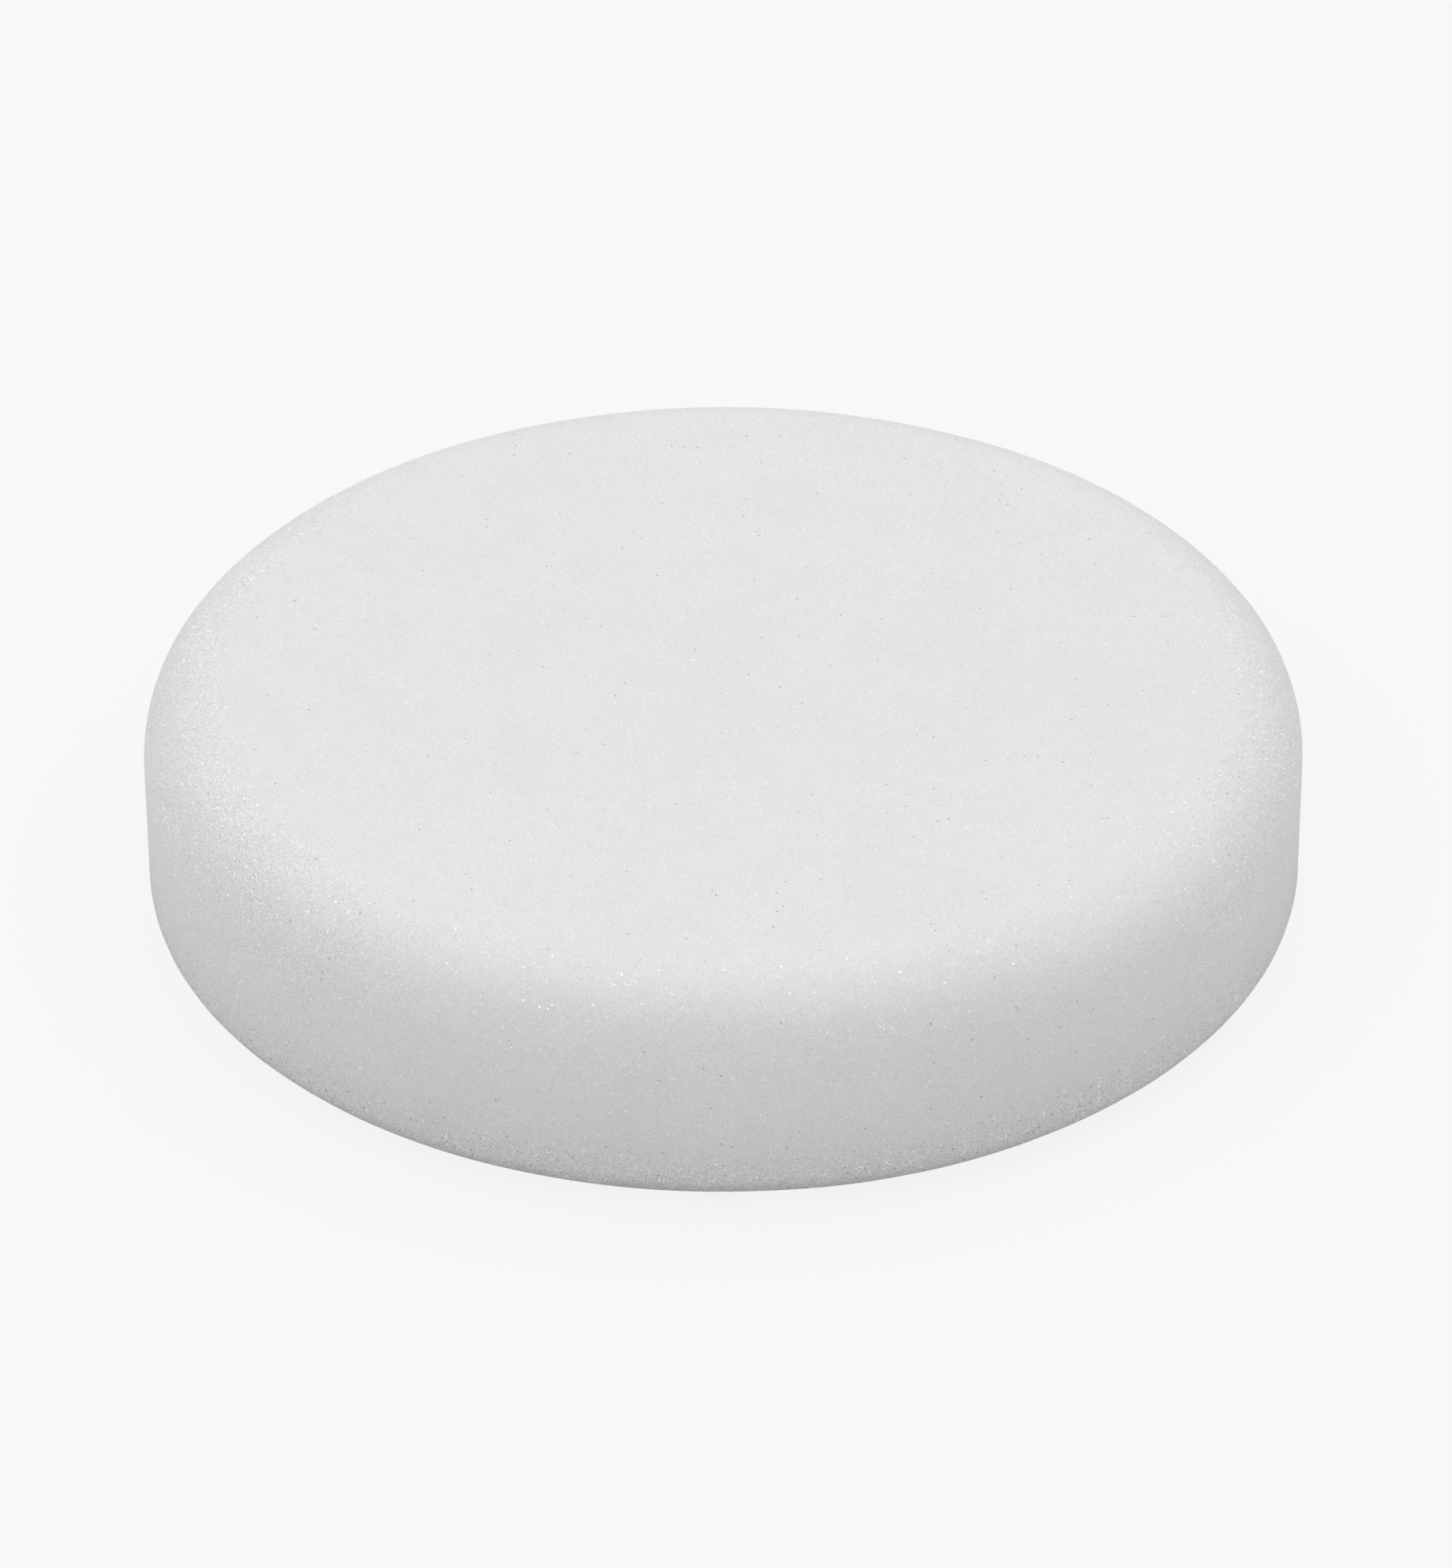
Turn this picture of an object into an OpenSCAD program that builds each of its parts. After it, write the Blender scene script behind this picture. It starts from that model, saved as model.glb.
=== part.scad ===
// Foam polishing pad, 150 x 30 mm, with a hook-and-loop backing.
// Origin: centre of the backing's underside. +Z points out of the polishing face.
// Layers, from the machine side up: loop pile, ground cloth, bonding film, foam.

/* [Foam] */
// Diameter of the foam disc
foam_d = 150; // [75:1:200]
// Thickness of the foam disc
foam_t = 30; // [20:0.5:50]
// Radius ground round the edge of the polishing face
face_edge_r = 10; // [2:0.5:14]
// Radius of the eased edge at the back of the foam
back_edge_r = 3.5; // [1:0.5:5]

/* [Backing] */
// How far the backing stays inside the foam's outline, all round
backing_inset = 6; // [1:0.5:10]
// Height of the loop pile
pile_t = 1.3; // [0.8:0.1:3]
// Thickness of the knitted ground cloth that the loops stand on
cloth_t = 0.35; // [0.2:0.05:0.8]
// Thickness of the hot-melt film that bonds the cloth to the foam
film_t = 0.15; // [0.1:0.05:0.4]

/* [Hidden] */
$fn = 180;
foam_r = foam_d / 2;
backing_r = foam_r - backing_inset;
cloth_z = pile_t;
film_z = cloth_z + cloth_t;
foam_z = film_z + film_t;

// Quarter of a round, filling the corner above and outside its centre
module quarter_round(r) {
    intersection() {
        circle(r = r);
        square(r);
    }
}

// Half of the foam's cross-section: flat back, eased back edge, straight
// ground side, round face edge, flat polishing face
module foam_outline() {
    side_t = foam_t - face_edge_r - back_edge_r;
    square([foam_r - face_edge_r, foam_t]);
    square([foam_r - back_edge_r, foam_t - face_edge_r]);
    translate([0, back_edge_r]) square([foam_r, side_t]);
    translate([foam_r - face_edge_r, foam_t - face_edge_r]) quarter_round(face_edge_r);
    translate([foam_r - back_edge_r, back_edge_r]) mirror([0, 1]) quarter_round(back_edge_r);
}

// One flat round layer of the backing, standing on height z
module backing_layer(t, z) {
    translate([0, 0, z]) cylinder(r = backing_r, h = t);
}

// Open-cell polyurethane foam, ground to shape from one slice
module foam_disc() {
    color("whitesmoke") translate([0, 0, foam_z]) rotate_extrude() foam_outline();
}

// Hot-melt film that the lamination leaves between foam and cloth
module bonding_film() {
    color("ivory") backing_layer(film_t, film_z);
}

// Warp-knitted cloth that carries the loops
module ground_cloth() {
    color("gainsboro") backing_layer(cloth_t, cloth_z);
}

// Brushed loops, which the hooks of the machine's backing plate grip
module loop_pile() {
    color("white") backing_layer(pile_t, 0);
}

foam_disc();
bonding_film();
ground_cloth();
loop_pile();
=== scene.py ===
"""Looks for a foam polishing pad: white open-cell foam, bonded on a knitted loop backing.

Every length is in metres, in the part's own frame: the origin is the centre of the backing's
underside and +Z points out of the polishing face.
"""
import math

import bpy
import numpy as np
from mathutils import Matrix, Vector


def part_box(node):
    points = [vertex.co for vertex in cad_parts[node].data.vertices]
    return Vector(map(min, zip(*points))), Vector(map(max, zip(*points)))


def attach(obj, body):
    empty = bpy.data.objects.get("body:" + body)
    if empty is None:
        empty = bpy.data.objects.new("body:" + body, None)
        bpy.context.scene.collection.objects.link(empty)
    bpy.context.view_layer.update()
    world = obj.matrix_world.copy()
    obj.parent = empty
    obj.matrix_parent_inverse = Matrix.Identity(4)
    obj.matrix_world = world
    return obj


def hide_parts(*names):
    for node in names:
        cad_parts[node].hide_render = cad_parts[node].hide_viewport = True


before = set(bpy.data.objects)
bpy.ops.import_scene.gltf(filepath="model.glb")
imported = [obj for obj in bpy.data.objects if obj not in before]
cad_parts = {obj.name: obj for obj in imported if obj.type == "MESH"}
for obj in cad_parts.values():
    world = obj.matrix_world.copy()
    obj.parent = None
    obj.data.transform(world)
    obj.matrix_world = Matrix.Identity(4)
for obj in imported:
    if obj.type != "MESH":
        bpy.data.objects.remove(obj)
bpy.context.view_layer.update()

MM = 0.001

# Sizes that the frame gives
foam_low, foam_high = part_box("foam_disc")
film_low, film_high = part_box("bonding_film")
cloth_low, cloth_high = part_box("ground_cloth")
pile_low, pile_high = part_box("loop_pile")
FOAM_R = foam_high.x
FOAM_T = foam_high.z - foam_low.z
BACKING_R = cloth_high.x

# The foam's ground edges
FACE_EDGE_R = 10 * MM
BACK_EDGE_R = 3.5 * MM

# The foam's outline, followed from the middle of the polishing face: how far along it each stretch ends
FACE_END = FOAM_R - FACE_EDGE_R
FACE_EDGE_END = FACE_END + FACE_EDGE_R * math.pi / 2
SIDE_END = FACE_EDGE_END + FOAM_T - FACE_EDGE_R - BACK_EDGE_R
BACK_EDGE_END = SIDE_END + BACK_EDGE_R * math.pi / 2
BACK_END = BACK_EDGE_END + FOAM_R - BACK_EDGE_R

# How finely the foam is divided: squares across the polishing face, with four times as many round its rim,
# and rings on the hidden back, each smaller than the last by the ratio
FACE_SQUARES = 320
BACK_RINGS = 7
BACK_RING_RATIO = 0.55

# Relief of the foam's surface: pitch and height of its waves, lumps and cells
WAVE_PITCH, WAVE_HEIGHT = 26 * MM, 0.10 * MM
LUMP_PITCH, LUMP_HEIGHT = 4.5 * MM, 0.025 * MM
CELL_PITCH, CELL_DEPTH = 1.1 * MM, 0.015 * MM
# How far from a cell's centre its pit meets the true outline, as a share of the pitch
CELL_LEVEL = 0.55


# ---------------------------------------------------------------- noise and meshes


def lattice_random(i, j, k, seed):
    """One random number from 0 to 1 for each whole lattice point, the same for the same point and seed."""
    mixed = (i * 73856093) ^ (j * 19349663) ^ (k * 83492791) ^ (seed * 2654435761)
    mixed = (mixed ^ (mixed >> 13)) * 1274126177
    return ((mixed ^ (mixed >> 16)) & 0xFFFFF) / 0xFFFFF


def smooth_noise(points, pitch, seed):
    """Random numbers from -1 to 1 at a cubic lattice's corners, blended by 3t^2 - 2t^3 along each axis."""
    scaled = points / pitch
    corner = np.floor(scaled).astype(np.int64)
    t = scaled - corner
    t = t * t * (3 - 2 * t)
    total = np.zeros(len(points))
    for di, dj, dk in np.ndindex(2, 2, 2):
        share = (
            np.where(di, t[:, 0], 1 - t[:, 0])
            * np.where(dj, t[:, 1], 1 - t[:, 1])
            * np.where(dk, t[:, 2], 1 - t[:, 2])
        )
        total += share * lattice_random(corner[:, 0] + di, corner[:, 1] + dj, corner[:, 2] + dk, seed)
    return 2 * total - 1


def cell_distance(points, pitch, seed):
    """Distance to the nearest cell centre, as a share of the pitch.

    Each cube of a lattice has one centre, at a random place in it.
    """
    scaled = points / pitch
    cube = np.floor(scaled).astype(np.int64)
    nearest = np.full(len(points), 9.0)
    for step in np.ndindex(3, 3, 3):
        at = cube + (np.array(step) - 1)
        centre = np.stack([lattice_random(at[:, 0], at[:, 1], at[:, 2], seed + a) for a in range(3)], axis=1)
        away = at + centre - scaled
        nearest = np.minimum(nearest, np.einsum("ij,ij->i", away, away))
    return np.sqrt(nearest)


def quads_of(index):
    """The quads between neighbouring rows and columns of a grid of vertex numbers."""
    return np.stack(
        [index[:-1, :-1], index[1:, :-1], index[1:, 1:], index[:-1, 1:]], axis=-1
    ).reshape(-1, 4)


def closed_columns(index):
    """The same grid with its first column again at the end, which closes the seam."""
    return np.concatenate([index, index[:, :1]], axis=1)


def lathe_points(r, z, angle):
    """Points at radius r and height z, turned to the angle round the Z axis."""
    return np.stack([r * np.cos(angle), r * np.sin(angle), z], axis=-1)


def disc_of_squares(squares):
    """A square grid bent into a disc of radius 1, so that each square ring becomes a round ring.

    Returns radius, angle and the grid of vertex numbers. With a and b from -1 to 1 across the grid, the
    radius is the larger of |a| and |b|, and the angle runs evenly along each side of the ring, a quarter
    turn to a side.
    """
    side = np.linspace(-1, 1, squares + 1)
    a, b = np.meshgrid(side, side, indexing="ij")
    radius = np.maximum(abs(a), abs(b))
    safe = np.where(radius == 0, 1, radius)
    eighth = math.pi / 4
    right = eighth * b / safe
    upper = eighth * (2 - a / safe)
    left = eighth * (4 - b / safe)
    lower = eighth * (6 + a / safe)
    on_x = abs(a) >= abs(b)
    angle = np.where(on_x, np.where(a > 0, right, left), np.where(b > 0, upper, lower))
    return radius.ravel(), angle.ravel(), np.arange(a.size).reshape(a.shape)


def rim_of(index):
    """The vertex numbers round a square grid's border, anticlockwise from the corner at -45 degrees."""
    return np.concatenate([index[-1, :-1], index[::-1, -1][:-1], index[0, ::-1][:-1], index[:-1, 0]])


def make_piece(name, points, faces, material, smooth=True):
    """A mesh object at the origin. faces is a list of arrays of vertex numbers, each with 3 or 4 columns."""
    mesh = bpy.data.meshes.new(name)
    sizes = np.concatenate([np.full(len(f), f.shape[1]) for f in faces])
    corners = np.concatenate([f.reshape(-1) for f in faces])
    mesh.vertices.add(len(points))
    mesh.vertices.foreach_set("co", points.astype(np.float32).reshape(-1))
    mesh.loops.add(len(corners))
    mesh.loops.foreach_set("vertex_index", corners.astype(np.int32))
    mesh.polygons.add(len(sizes))
    starts = np.concatenate([[0], np.cumsum(sizes)[:-1]])
    mesh.polygons.foreach_set("loop_start", starts.astype(np.int32))
    mesh.polygons.foreach_set("use_smooth", np.full(len(sizes), smooth))
    mesh.update(calc_edges=True)
    mesh.validate()
    mesh.materials.append(material)
    piece = bpy.data.objects.new(name, mesh)
    bpy.context.scene.collection.objects.link(piece)
    return piece


# ---------------------------------------------------------------- material helpers


def node(tree, kind, inputs=None, **settings):
    """Adds a shader node. Each input is set to a value, or linked if it is another node's output."""
    made = tree.nodes.new("ShaderNode" + kind)
    for key, value in settings.items():
        setattr(made, key, value)
    for key, value in (inputs or {}).items():
        if isinstance(value, bpy.types.NodeSocket):
            tree.links.new(value, made.inputs[key])
        else:
            made.inputs[key].default_value = value
    return made


def new_material(name):
    """An empty material, its node tree and its output node."""
    material = bpy.data.materials.new(name)
    material.use_nodes = True
    tree = material.node_tree
    tree.nodes.clear()
    return material, tree, tree.nodes.new("ShaderNodeOutputMaterial")


def millimetres(tree):
    """The object coordinates in millimetres."""
    place = node(tree, "TexCoord").outputs["Object"]
    return node(tree, "Mapping", {"Vector": place, "Scale": (1000, 1000, 1000)}).outputs["Vector"]


def noise(tree, place, scale, detail, **more):
    """Noise from 0 to 1 with that many lumps to a millimetre. more holds Roughness or Distortion."""
    made = node(tree, "TexNoise", {"Vector": place, "Scale": scale, "Detail": detail, **more})
    return made.outputs["Fac"]


def ramp(tree, value, low, high, out_low=0.0, out_high=1.0):
    """Value rescaled from low..high to out_low..out_high with soft ends."""
    made = node(
        tree,
        "MapRange",
        {"Value": value, "From Min": low, "From Max": high, "To Min": out_low, "To Max": out_high},
        interpolation_type="SMOOTHSTEP",
    )
    return made.outputs["Result"]


def math_node(tree, operation, a, b=0.0):
    """One Math node's result."""
    return node(tree, "Math", {0: a, 1: b}, operation=operation).outputs[0]


def sum_of(tree, *values):
    """All the values added up."""
    total = values[0]
    for value in values[1:]:
        total = math_node(tree, "ADD", total, value)
    return total


def product(tree, a, b):
    """The two values multiplied."""
    return math_node(tree, "MULTIPLY", a, b)


def mixed_colour(tree, share, a, b, blend="MIX"):
    """Colour a at share 0, colour b at share 1."""
    made = node(tree, "Mix", {0: share, 6: a, 7: b}, data_type="RGBA", blend_type=blend)
    return made.outputs[2]


def bumped(tree, height, distance, strength=1.0):
    """The normal of a surface with that height, as a share of the distance, on top of its mesh."""
    made = node(tree, "Bump", {"Height": height, "Strength": strength, "Distance": distance})
    return made.outputs["Normal"]


# ---------------------------------------------------------------- materials


# The average of foam_cells, so that the relief's painted shade and highlight neither lightens nor darkens
# the foam on the whole
CELL_MIDDLE = 0.220


def coarseness_and_grazing_shade(tree, sides):
    """How coarse the foam looks, and how strongly its relief is painted into the colour as shade and
    highlight:
    1 on the sliced face, more where it was ground.

    The ground edge gets more towards its left and right ends, most of all near the face: there it is painted
    shade and highlight where the light grazes, not coarser foam. Over the lowest centimetre it gets more
    down to the back. Heights and distances are in millimetres.
    """
    x, z = sides.outputs["X"], sides.outputs["Z"]
    flat = node(tree, "CombineXYZ", {"X": x, "Y": sides.outputs["Y"]})
    radius = node(tree, "VectorMath", {0: flat.outputs[0]}, operation="LENGTH").outputs["Value"]
    off_middle = math_node(tree, "ABSOLUTE", math_node(tree, "SUBTRACT", x, 8))
    # Painted shade and highlight: the relief is painted stronger at the edge's left and right ends, where
    # the light grazes
    near_ends = ramp(tree, off_middle, 40, 72)
    near_face = ramp(tree, z, 14, 24, 0.5, 1.2)
    on_edge = ramp(tree, radius, 62, 69)
    near_back = ramp(tree, z, 2, 12, 2.2, 0.0)
    ground = product(tree, on_edge, sum_of(tree, product(tree, near_ends, near_face), 0.15))
    return sum_of(tree, math_node(tree, "MAXIMUM", ground, near_back), 1.0)


def foam_cells(tree, place, coarse_and_grazing):
    """The foam's fine relief: curled cell edges with a hollow on each side, over dimples and fine grain.

    The edges follow the line where a noise is at its middle. They come in patches on the face, and
    everywhere where coarse_and_grazing is well over 1.
    """
    curls = noise(tree, place, 1.5, 0.0, Distortion=0.3)
    off_line = math_node(tree, "ABSOLUTE", math_node(tree, "SUBTRACT", curls, 0.5))
    crest = ramp(tree, off_line, 0.0, 0.05, 1.0, -0.6)
    edges = sum_of(tree, crest, ramp(tree, off_line, 0.05, 0.13, 0.0, 0.6))
    more = product(tree, math_node(tree, "SUBTRACT", coarse_and_grazing, 1.0), 0.2)
    patch = ramp(tree, sum_of(tree, noise(tree, place, 0.9, 1.0), more), 0.5, 0.65, 0.3, 1.0)
    dimples = node(tree, "TexVoronoi", {"Vector": place, "Scale": 3.0}, feature="F1")
    grain = noise(tree, place, 6.5, 0.0)
    return sum_of(
        tree,
        product(tree, product(tree, edges, patch), 0.3),
        product(tree, dimples.outputs["Distance"], 0.25),
        product(tree, grain, 0.2),
    )


def foam_colour(tree, place, relief):
    """White, a little greyer or warmer in patches, with painted shade in the relief's hollows and a painted
    highlight on its crests.
    """
    shade = ramp(tree, noise(tree, place, 0.045, 3.0, Roughness=0.55), 0.3, 0.7)
    colour = mixed_colour(tree, shade, (0.795, 0.795, 0.792, 1), (0.805, 0.805, 0.803, 1))
    tint = ramp(tree, noise(tree, place, 0.11, 2.0), 0.45, 0.65)
    colour = mixed_colour(tree, tint, colour, (0.994, 0.994, 0.986, 1), "MULTIPLY")
    # Painted shade and highlight: the colour is darker where the relief is low and lighter where it is high
    painted_shade_and_highlight = sum_of(tree, product(tree, relief, 0.45), 1.0)
    return mixed_colour(tree, 1.0, colour, painted_shade_and_highlight, "MULTIPLY")


def odd_cells(tree, place, height):
    """Where a cell is an open pore, painted dark as the shade inside it, and where it has a window of clear
    skin, painted white as a glint, each from 0 to 1.

    Random spots about 0.3 mm across. Pores are rare on the face and common near the back.
    """
    spots = node(tree, "TexVoronoi", {"Vector": place, "Scale": 2.0}, feature="F1")
    random = node(tree, "SeparateColor", {"Color": spots.outputs["Color"]})
    middle = ramp(tree, spots.outputs["Distance"], 0.24, 0.34, 1.0, 0.0)
    pores_from = ramp(tree, height, 2, 12, 0.87, 0.993)
    pore_shade = product(tree, math_node(tree, "GREATER_THAN", random.outputs["Green"], pores_from), middle)
    window_painted_glint = product(tree, math_node(tree, "GREATER_THAN", random.outputs["Red"], 0.94), middle)
    return pore_shade, product(tree, window_painted_glint, ramp(tree, random.outputs["Blue"], 0.4, 1, 0.2, 1.0))


def foam_material():
    """White open-cell foam: fine cells with their relief painted in as shade and highlight, sparse pores
    painted dark as the shade inside them, and cell windows that glint by a metallic reflection and a painted
    white glint.
    """
    material, tree, out = new_material("white_foam")
    place = millimetres(tree)
    sides = node(tree, "SeparateXYZ", {"Vector": place})
    coarse_and_grazing = coarseness_and_grazing_shade(tree, sides)
    height = foam_cells(tree, place, coarse_and_grazing)
    # The relief as it is painted into the colour as shade and highlight
    relief = product(tree, math_node(tree, "SUBTRACT", height, CELL_MIDDLE), coarse_and_grazing)
    pore_shade, window_painted_glint = odd_cells(tree, place, sides.outputs["Z"])
    colour = foam_colour(tree, place, relief)
    # Painted shade: open pores are painted dark grey for the shade inside them, more of them towards the
    # back
    colour = mixed_colour(tree, pore_shade, colour, (0.45, 0.45, 0.44, 1))
    # Painted glint: cell windows are painted white, on top of their real metallic reflection
    colour = mixed_colour(tree, window_painted_glint, colour, (1, 1, 1, 1))
    surface = node(
        tree,
        "BsdfPrincipled",
        {
            "Base Color": colour,
            "Metallic": product(tree, window_painted_glint, 0.5),
            "Roughness": ramp(tree, window_painted_glint, 0, 1, 0.95, 0.4),
            "Normal": bumped(tree, height, 0.04 * MM),
            "Specular IOR Level": 0.25,
            "Sheen Weight": 0.05,
            "Sheen Roughness": 0.6,
        },
    )
    tree.links.new(surface.outputs[0], out.inputs["Surface"])
    return material


def film_material():
    """Milky hot-melt film: slightly yellow, smooth, with faint flow marks."""
    material, tree, out = new_material("hot_melt_film")
    flow = noise(tree, millimetres(tree), 0.6, 3.0, Distortion=0.8)
    surface = node(
        tree,
        "BsdfPrincipled",
        {
            "Base Color": mixed_colour(tree, flow, (0.80, 0.77, 0.66, 1), (0.88, 0.86, 0.78, 1)),
            "Roughness": ramp(tree, flow, 0.3, 0.7, 0.28, 0.45),
            "Normal": bumped(tree, flow, 0.1 * MM, strength=0.3),
        },
    )
    tree.links.new(surface.outputs[0], out.inputs["Surface"])
    return material


def knit_material():
    """Warp-knitted cloth: rows of small stitches, 0.7 mm apart one way and 0.5 mm the other, with fibres.
    The gaps between the stitches are painted darker, as shade.
    """
    material, tree, out = new_material("knitted_cloth")
    place = millimetres(tree)
    wales = node(tree, "TexWave", {"Vector": place, "Scale": 0.45}, bands_direction="X")
    courses = node(tree, "TexWave", {"Vector": place, "Scale": 0.62}, bands_direction="Y")
    fibres = noise(tree, place, 9.0, 3.0)
    stitch = product(tree, wales.outputs["Fac"], courses.outputs["Fac"])
    height = sum_of(tree, stitch, product(tree, fibres, 0.5))
    # Painted shade: darker between the stitches, lighter on them
    colour = mixed_colour(tree, stitch, (0.52, 0.52, 0.505, 1), (0.78, 0.78, 0.765, 1))
    surface = node(
        tree,
        "BsdfPrincipled",
        {
            "Base Color": mixed_colour(tree, fibres, colour, (0.93, 0.93, 0.92, 1), "MULTIPLY"),
            "Roughness": 0.9,
            "Normal": bumped(tree, height, 0.25 * MM, strength=0.7),
            "Sheen Weight": 0.3,
            "Sheen Roughness": 0.5,
        },
    )
    tree.links.new(surface.outputs[0], out.inputs["Surface"])
    return material


def yarn_material():
    """White nylon loop yarn: soft sheen, each part of the pile a little lighter or darker than the next."""
    material, tree, out = new_material("loop_yarn")
    place = millimetres(tree)
    strands = noise(tree, place, 1.4, 3.0, Roughness=0.7)
    surface = node(
        tree,
        "BsdfPrincipled",
        {
            "Base Color": mixed_colour(tree, strands, (0.76, 0.76, 0.75, 1), (0.88, 0.88, 0.87, 1)),
            "Roughness": ramp(tree, strands, 0.3, 0.7, 0.55, 0.7),
            "Normal": bumped(tree, noise(tree, place, 14.0, 2.0), 0.05 * MM, strength=0.4),
            "Sheen Weight": 0.4,
            "Sheen Roughness": 0.35,
        },
    )
    tree.links.new(surface.outputs[0], out.inputs["Surface"])
    return material


# ---------------------------------------------------------------- foam


def foam_outline(s):
    """Radius, height and outward direction on the foam's outline, at distance s from the middle of its face.

    Flat face, then the face edge as a quarter circle, the straight side, the back edge as a quarter circle,
    and the flat back to the middle. The outward direction is (nr, nz) with nr = sin a and nz = cos a, where
    a is the angle turned since the face.
    """
    turn_face = np.clip((s - FACE_END) / FACE_EDGE_R, 0, math.pi / 2)
    turn_back = np.clip((s - SIDE_END) / BACK_EDGE_R, 0, math.pi / 2)
    down = np.clip(s - FACE_EDGE_END, 0, SIDE_END - FACE_EDGE_END)
    inward = np.maximum(s - BACK_EDGE_END, 0)
    r = np.minimum(s, FACE_END) + FACE_EDGE_R * np.sin(turn_face)
    r = r - BACK_EDGE_R * (1 - np.cos(turn_back)) - inward
    z = foam_high.z - FACE_EDGE_R * (1 - np.cos(turn_face)) - down - BACK_EDGE_R * np.sin(turn_back)
    turned = turn_face + turn_back
    return r, z, np.sin(turned), np.cos(turned)


def foam_relief(points):
    """Height of the ground surface over the true outline: slow waves, small lumps and a pit in each cell."""
    waves = WAVE_HEIGHT * smooth_noise(points, WAVE_PITCH, 11)
    lumps = LUMP_HEIGHT * smooth_noise(points, LUMP_PITCH, 23)
    pits = CELL_DEPTH * (cell_distance(points, CELL_PITCH, 37) - CELL_LEVEL)
    return waves + lumps + pits


def make_foam(material):
    """The foam as one closed skin: a disc of squares for the face, then a lathe grid round the rest.

    The grid's rows are as far apart as its columns, down to the part of the back that the backing covers.
    From there on a few rings and a fan close it. Every point is moved outwards by foam_relief, which fades
    to nothing in the last of the fine rows.
    """
    share, face_angle, face_index = disc_of_squares(FACE_SQUARES)
    columns = 4 * FACE_SQUARES
    row_height = 2 * math.pi * FOAM_R / columns
    fade = 1.5 * MM
    fine_end = BACK_EDGE_END + (FOAM_R - BACK_EDGE_R - BACKING_R) + fade
    rows = round((fine_end - FACE_END) / row_height)
    fine_s = np.linspace(FACE_END, fine_end, rows + 1)[1:]
    back_s = fine_end + (BACK_END - fine_end) * (1 - BACK_RING_RATIO ** np.arange(1, BACK_RINGS + 1))
    round_angle = -math.pi / 4 + 2 * math.pi * np.arange(columns) / columns
    lathe_s, lathe_angle = np.meshgrid(np.concatenate([fine_s, back_s]), round_angle, indexing="ij")

    s = np.concatenate([share * FACE_END, lathe_s.ravel(), [BACK_END]])
    angle = np.concatenate([face_angle, lathe_angle.ravel(), [0.0]])
    r, z, nr, nz = foam_outline(s)
    points = lathe_points(r, z, angle)
    loose = np.clip((fine_end - s) / fade, 0, 1)
    points += lathe_points(nr, nz, angle) * (loose * foam_relief(points))[:, None]

    lathe_index = face_index.size + np.arange(lathe_s.size).reshape(lathe_s.shape)
    grid = closed_columns(np.concatenate([rim_of(face_index)[None, :], lathe_index]))
    middle = np.full(columns, len(points) - 1)
    fan = np.stack([grid[-1, :-1], middle, grid[-1, 1:]], axis=1)
    piece = make_piece("polishing_foam", points, [quads_of(face_index), quads_of(grid), fan], material)
    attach(piece, "root")
    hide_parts("foam_disc")


# ---------------------------------------------------------------- backing


LAYER_COLUMNS = 720
# How far apart the bumps of a layer's rim are: small ones and long ones
NICK_PITCH, BEND_PITCH = 1.7 * MM, 9 * MM


def make_layer(name, radius, low, high, wobble, seed, material):
    """A thin round layer: a flat top and bottom joined by a half-round rim that is a little uneven.

    Its outline is carried round as a profile of (radius, height). In the outer tenth, the radius gets two
    smooth noises, each times wobble.
    """
    half = (high - low) / 2
    bulge = np.linspace(math.pi / 2, -math.pi / 2, 5)
    inner = np.array([0.02, 0.25, 0.6, 0.9]) * radius
    r = np.concatenate([inner, radius - half + half * np.cos(bulge), inner[::-1]])
    z = np.concatenate([np.full(4, high), low + half + half * np.sin(bulge), np.full(4, low)])
    angle = 2 * math.pi * np.arange(LAYER_COLUMNS) / LAYER_COLUMNS
    grid_r, grid_angle = np.meshgrid(r, angle, indexing="ij")
    grid_z = np.repeat(z[:, None], LAYER_COLUMNS, axis=1)
    rim = lathe_points(np.full(LAYER_COLUMNS, radius), np.zeros(LAYER_COLUMNS), angle)
    shift = wobble * smooth_noise(rim, NICK_PITCH, seed) + wobble * smooth_noise(rim, BEND_PITCH, seed + 1)
    outer = np.clip((grid_r / radius - 0.9) / 0.1, 0, 1)
    points = lathe_points(grid_r + outer * shift[None, :], grid_z, grid_angle).reshape(-1, 3)
    points = np.concatenate([points, [[0, 0, high], [0, 0, low]]])
    index = closed_columns(np.arange(grid_r.size).reshape(grid_r.shape))
    top = np.full(LAYER_COLUMNS, len(points) - 2)
    bottom = np.full(LAYER_COLUMNS, len(points) - 1)
    cap = np.stack([top, index[0, :-1], index[0, 1:]], axis=1)
    base = np.stack([index[-1, :-1], bottom, index[-1, 1:]], axis=1)
    return make_piece(name, points, [quads_of(index), cap, base], material)


def make_film(material):
    """The hot-melt film, squeezed out a little past the cloth here and there."""
    radius = BACKING_R + 0.1 * MM
    piece = make_layer("melted_film", radius, film_low.z, film_high.z, 0.12 * MM, 51, material)
    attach(piece, "root")
    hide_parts("bonding_film")


def make_cloth(material):
    """The knitted cloth that carries the loops, die-cut to a disc."""
    radius = BACKING_R - 0.1 * MM
    piece = make_layer("knitted_cloth", radius, cloth_low.z, cloth_high.z, 0.06 * MM, 61, material)
    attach(piece, "root")
    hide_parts("ground_cloth")
    return piece


# The loops: how far apart they and their rows are, how far they stray, and the cloth's bare margin
LOOP_SPACING = 1.0 * MM
ROW_SPACING = 0.87 * LOOP_SPACING
LOOP_STRAY = 0.22 * LOOP_SPACING
LOOP_MARGIN = 0.7 * MM

# Each loop's yarn: the sections along it, the section's radius and sides, and how deep its ends are buried
LOOP_STATIONS = 7
YARN_R = 0.075 * MM
YARN_SIDES = 3
YARN_ANCHOR = 0.1 * MM


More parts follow.
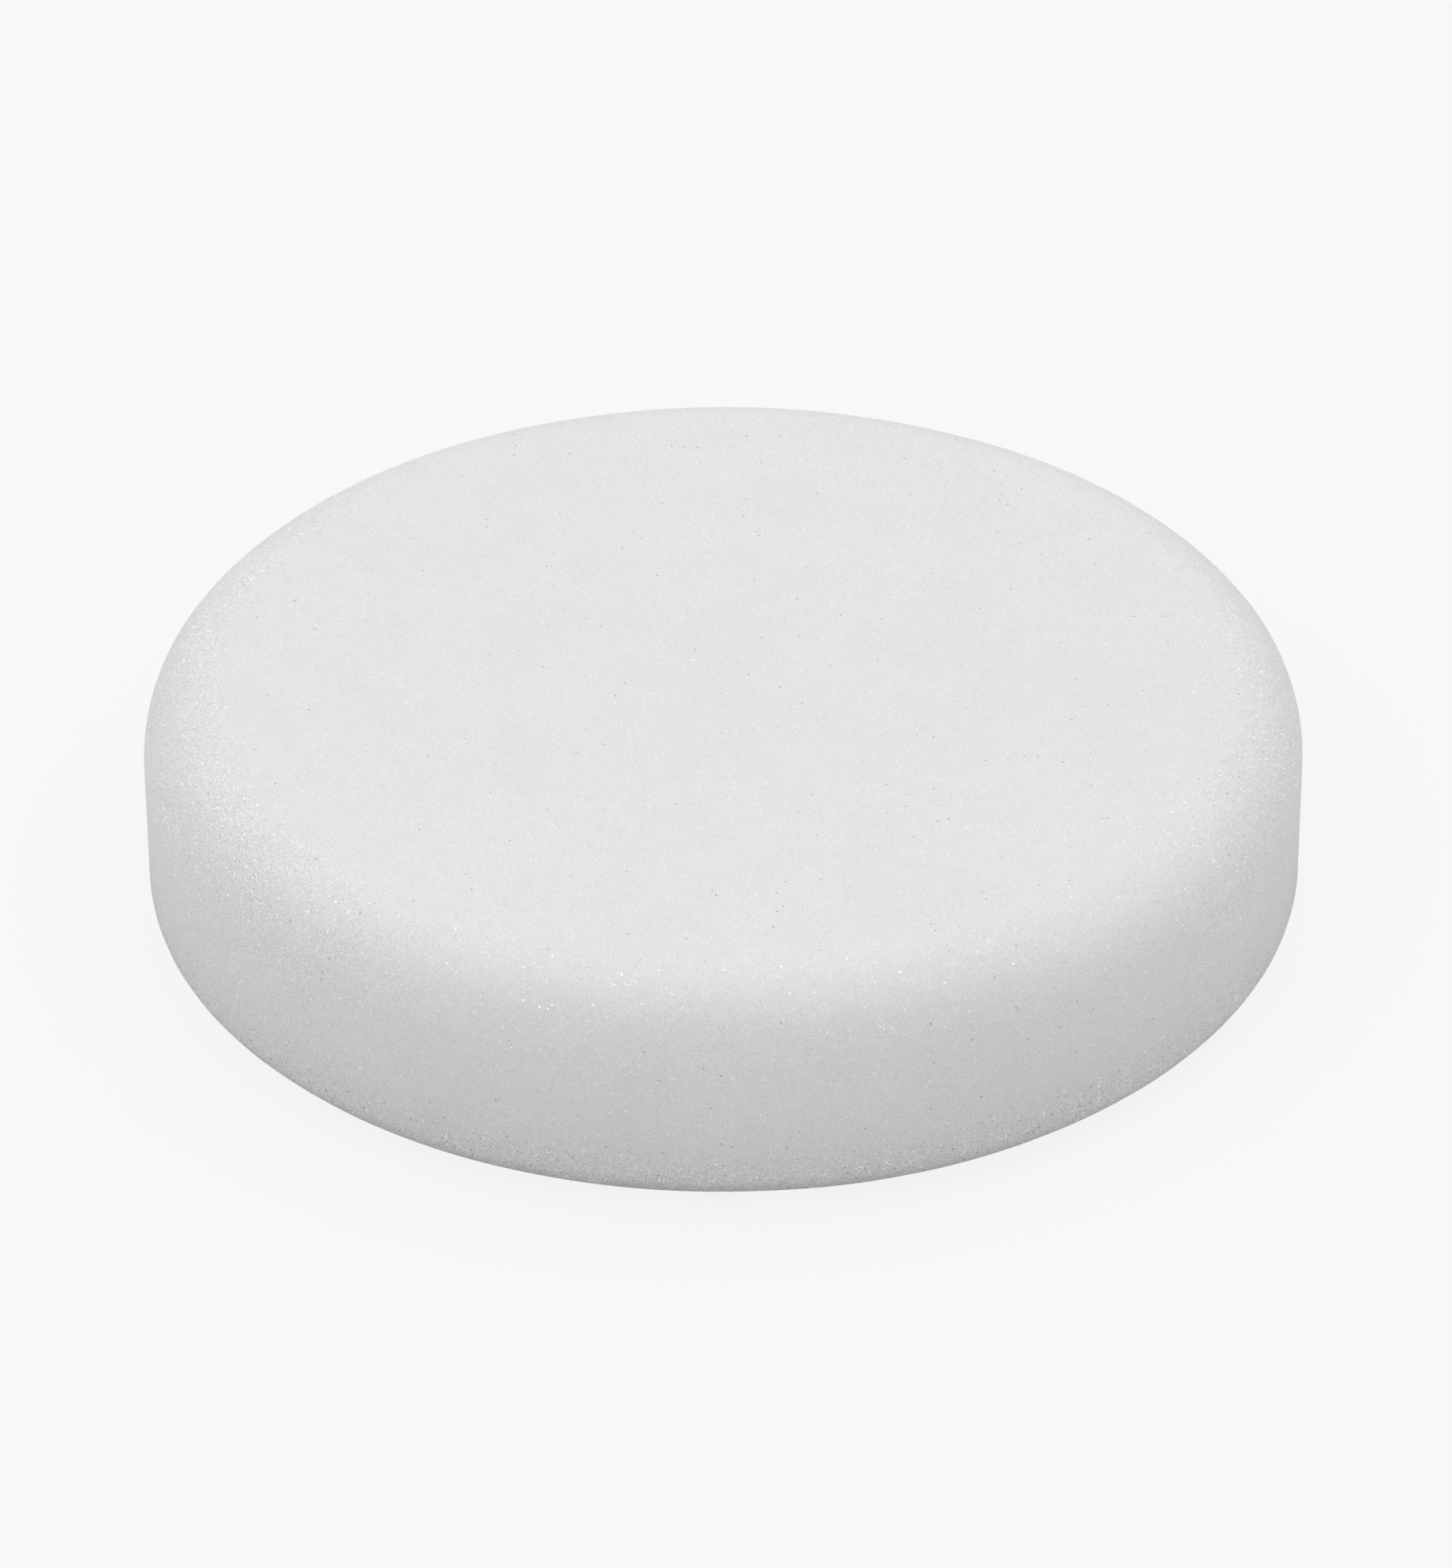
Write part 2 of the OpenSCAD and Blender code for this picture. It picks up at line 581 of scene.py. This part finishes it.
def loop_feet(rng, quarter):
    """Middles of the loops in one quarter of the backing: a triangular grid, each a little off its place."""
    columns = int(BACKING_R / LOOP_SPACING) + 1
    rows = int(BACKING_R / ROW_SPACING) + 1
    a, b = np.meshgrid(np.arange(-columns, columns + 1), np.arange(-rows, rows + 1), indexing="ij")
    x = (a + 0.5 * (b % 2)).ravel() * LOOP_SPACING
    y = b.ravel() * ROW_SPACING
    x = x + rng.normal(0, LOOP_STRAY, x.shape)
    y = y + rng.normal(0, LOOP_STRAY, y.shape)
    in_quarter = np.floor((np.arctan2(y, x) + math.pi) / (math.pi / 2)).astype(int) % 4 == quarter
    kept = in_quarter & (np.hypot(x, y) < BACKING_R - LOOP_MARGIN)
    return x[kept], y[kept]


def make_loops(name, seed, quarter, material):
    """A quarter of the loop pile. Each loop is an arch of yarn with a three-sided section and closed ends.

    Along the arch, t runs from 0 to pi: the yarn goes out by cos t times half the loop's width, down by
    sin t times its height, and sideways by sin^2 t times its lean. The section is carried on the arch's own
    outward and sideways directions. Both ends are buried in the cloth.
    """
    rng = np.random.default_rng(seed)
    x, y = loop_feet(rng, quarter)
    loops = len(x)
    height = (pile_high.z - pile_low.z) * rng.uniform(0.7, 1.0, loops)
    half_width = rng.uniform(0.35, 0.62, loops) * MM
    turn = rng.normal(math.pi / 2, 0.7, loops)
    lean = rng.normal(0.1, 0.28, loops) * MM

    t = np.linspace(0, math.pi, LOOP_STATIONS)
    along, sink, swing = np.cos(t), np.sin(t), np.sin(t) ** 2
    ux, uy = np.cos(turn)[:, None], np.sin(turn)[:, None]
    out = half_width[:, None] * along
    side = lean[:, None] * swing
    drop = (height[:, None] - YARN_R + YARN_ANCHOR) * sink - YARN_ANCHOR
    arch_x = x[:, None] + out * ux - side * uy
    arch_y = y[:, None] + out * uy + side * ux
    arch = np.stack([arch_x, arch_y, pile_high.z - drop], axis=-1)

    outward = np.stack([along * ux, along * uy, -sink * np.ones((loops, 1))], axis=-1)
    sideways = np.stack([-uy, ux, np.zeros((loops, 1))], axis=-1)
    ring = 2 * math.pi * np.arange(YARN_SIDES) / YARN_SIDES
    points = (
        arch[:, :, None, :]
        + YARN_R * np.cos(ring)[None, None, :, None] * outward[:, :, None, :]
        + YARN_R * np.sin(ring)[None, None, :, None] * sideways[:, :, None, :]
    )
    index = np.arange(points[..., 0].size).reshape(loops, LOOP_STATIONS, YARN_SIDES)
    wall = np.concatenate([index, index[:, :, :1]], axis=2)
    quads = np.stack([wall[:, :-1, :-1], wall[:, 1:, :-1], wall[:, 1:, 1:], wall[:, :-1, 1:]], axis=-1)
    ends = [index[:, 0, :], index[:, -1, ::-1]]
    piece = make_piece(name, points.reshape(-1, 3), [quads.reshape(-1, 4), *ends], material)
    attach(piece, "root")
    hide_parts("loop_pile")
    return piece


# ---------------------------------------------------------------- stage, lights, camera


PALE = (0.939, 0.939, 0.939, 1)
FLOOR_COLUMNS = 96
FLOOR_R = 8.0
FLOOR_HOLE_R = BACKING_R - 1 * MM


def floor_material():
    """A pale floor that looks even to the eye and lights the pad softly, less so near the pad.

    The camera sees a glow with only a little of the pad's shadow, and the pad itself sees a white table that
    glows a little, with a painted shadow round the pad: greyer and dimmer near it.
    It is clear from below.
    """
    material, tree, out = new_material("pale_floor")
    seen = node(tree, "LightPath").outputs["Is Camera Ray"]
    glow = node(tree, "Emission", {"Color": PALE, "Strength": 0.92})
    paint = node(tree, "BsdfDiffuse", {"Color": (0.08, 0.08, 0.08, 1)})
    even = node(tree, "AddShader", {0: glow.outputs[0], 1: paint.outputs[0]})
    away = node(tree, "VectorMath", {0: node(tree, "TexCoord").outputs["Object"]}, operation="LENGTH")
    # Painted shadow: the table the pad sees is greyer near the pad, and its glow weaker, standing in for the
    # pad's shadow on it
    painted_shadow_grey = ramp(tree, away.outputs["Value"], BACKING_R, 1.7 * FOAM_R, 0.54, 0.85)
    bounce = node(tree, "BsdfDiffuse", {"Color": painted_shadow_grey})
    strength = ramp(tree, away.outputs["Value"], FOAM_R, 2.7 * FOAM_R, 0.05, 0.19)
    shine = node(tree, "Emission", {"Strength": strength})
    table = node(tree, "AddShader", {0: bounce.outputs[0], 1: shine.outputs[0]})
    above = node(tree, "MixShader", {0: seen, 1: table.outputs[0], 2: even.outputs[0]})
    clear = node(tree, "BsdfTransparent")
    below = node(tree, "NewGeometry").outputs["Backfacing"]
    surface = node(tree, "MixShader", {0: below, 1: above.outputs[0], 2: clear.outputs[0]})
    tree.links.new(surface.outputs[0], out.inputs["Surface"])
    return material


def make_floor():
    """A wide flat ring. The pad hides its hole, which lets light reach the backing when seen from below."""
    angle = 2 * math.pi * np.arange(FLOOR_COLUMNS) / FLOOR_COLUMNS
    radii = np.array([FLOOR_HOLE_R, 2 * FOAM_R, 1.0, FLOOR_R])
    r, turn = np.meshgrid(radii, angle, indexing="ij")
    index = closed_columns(np.arange(r.size).reshape(r.shape))
    points = lathe_points(r, np.zeros(r.shape), turn).reshape(-1, 3)
    floor = make_piece("floor", points, [quads_of(index)], floor_material(), smooth=False)


SOFTBOX_SIZE = 0.6
SOFTBOX_DISTANCE = 1.2
# Name, degrees round from the back towards the right, degrees up, watts
SOFTBOXES = [
    ("back", 0, 62, 2.3),
    ("back_right", 50, 55, 3.7),
    ("back_left", 310, 53, 2.1),
    ("right", 90, 52, 1.4),
    ("left", 270, 55, 1.5),
    ("left_low", 270, 12, 1.2),
    ("front_right", 135, 45, 2.5),
    ("front_left", 225, 45, 4.2),
    ("front_right_low", 135, 12, 1.5),
    ("under_left", 225, -55, 15.0),
    ("under_right", 70, -35, 9.0),
]


def make_softbox(name, azimuth, elevation, power):
    """A square area light of that power, aimed at the pad from that direction."""
    light = bpy.data.lights.new(name, "AREA")
    light.size = SOFTBOX_SIZE
    light.energy = power
    box = bpy.data.objects.new(name, light)
    round_by, up_by = math.radians(azimuth), math.radians(elevation)
    flat = math.cos(up_by)
    towards = Vector((flat * math.sin(round_by), flat * math.cos(round_by), math.sin(up_by)))
    box.location = SOFTBOX_DISTANCE * towards
    aim = Vector((0, 0, foam_high.z / 2)) - box.location
    box.rotation_euler = aim.to_track_quat("-Z", "Y").to_euler()
    bpy.context.scene.collection.objects.link(box)


WORLD_STRENGTH = 0.02


def make_world():
    """Faint even light from all round. To the eye, and in a reflection, it is as pale as the floor."""
    world = bpy.data.worlds.new("studio")
    world.use_nodes = True
    tree = world.node_tree
    tree.nodes.clear()
    ray = node(tree, "LightPath")
    seen = math_node(tree, "MAXIMUM", ray.outputs["Is Camera Ray"], ray.outputs["Is Glossy Ray"])
    even = node(tree, "Background", {"Color": (1, 1, 1, 1), "Strength": WORLD_STRENGTH})
    backdrop = node(tree, "Background", {"Color": PALE, "Strength": 1.0})
    surface = node(tree, "MixShader", {0: seen, 1: even.outputs[0], 2: backdrop.outputs[0]})
    out = tree.nodes.new("ShaderNodeOutputWorld")
    tree.links.new(surface.outputs[0], out.inputs["Surface"])
    bpy.context.scene.world = world


CAMERA_ELEVATION = math.radians(32.91)
CAMERA_DISTANCE = 1.05
CAMERA_LENS_MM = 185.5
CAMERA_ROLL = -0.0036
CAMERA_SHIFT = (0.0017, -0.0087)


def make_camera():
    """The camera stands in front and looks down on the pad's middle."""
    data = bpy.data.cameras.new("camera")
    data.lens = CAMERA_LENS_MM
    data.sensor_width = 36
    data.shift_x, data.shift_y = CAMERA_SHIFT
    data.clip_end = 50
    camera = bpy.data.objects.new("camera", data)
    back = Vector((0, -math.cos(CAMERA_ELEVATION), math.sin(CAMERA_ELEVATION)))
    middle = Vector((0, 0, (foam_low.z + foam_high.z) / 2))
    turned = (-back).to_track_quat("-Z", "Y").to_matrix() @ Matrix.Rotation(CAMERA_ROLL, 3, "Z")
    camera.matrix_world = Matrix.Translation(middle + back * CAMERA_DISTANCE) @ turned.to_4x4()
    bpy.context.scene.collection.objects.link(camera)
    bpy.context.scene.camera = camera


# ---------------------------------------------------------------- making


make_camera()
make_floor()
make_world()
for softbox in SOFTBOXES:
    make_softbox(*softbox)
bpy.context.scene.view_settings.view_transform = "Standard"

make_foam(foam_material())
make_film(film_material())
cloth = make_cloth(knit_material())
yarn = yarn_material()
loops = [make_loops(f"loop_pile_{k + 1}", 71 + k, k, yarn) for k in range(4)]
